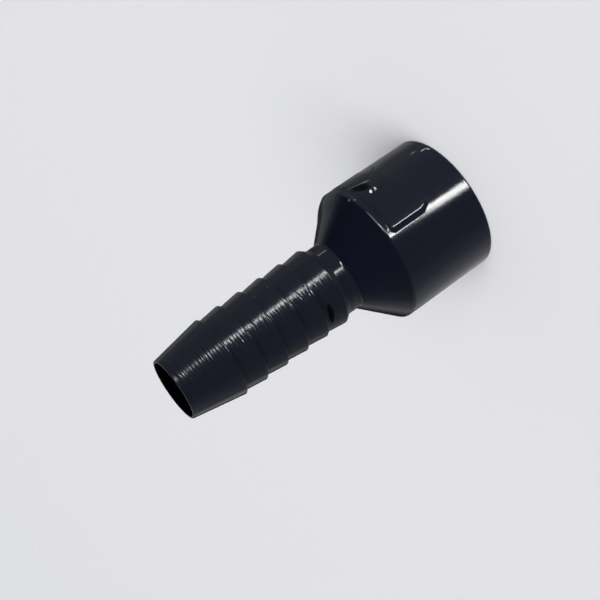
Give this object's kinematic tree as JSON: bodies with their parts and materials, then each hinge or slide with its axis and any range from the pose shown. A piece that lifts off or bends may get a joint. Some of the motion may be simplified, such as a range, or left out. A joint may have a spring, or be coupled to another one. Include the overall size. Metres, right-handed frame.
{
  "type": "drain adapter",
  "caption": "Moulded plastic adapter that takes a drain pipe in its socket and a hose on its ridged tail, joined by a cone.",
  "frame": {"origin": "centre of the socket's mouth, in the plane of its rim", "axes": "+Z along the axis, from the socket's mouth to the tip of the tail; the raised pad lies between +X and -Y"},
  "size_m": [0.0346, 0.0348, 0.08],
  "materials": {
    "moulding": "dark grey-blue moulded plastic, glossy on the socket and satin on the tail"
  },
  "bodies": {
    "root": {"adapter_body": "moulding"}
  },
  "joints": []
}
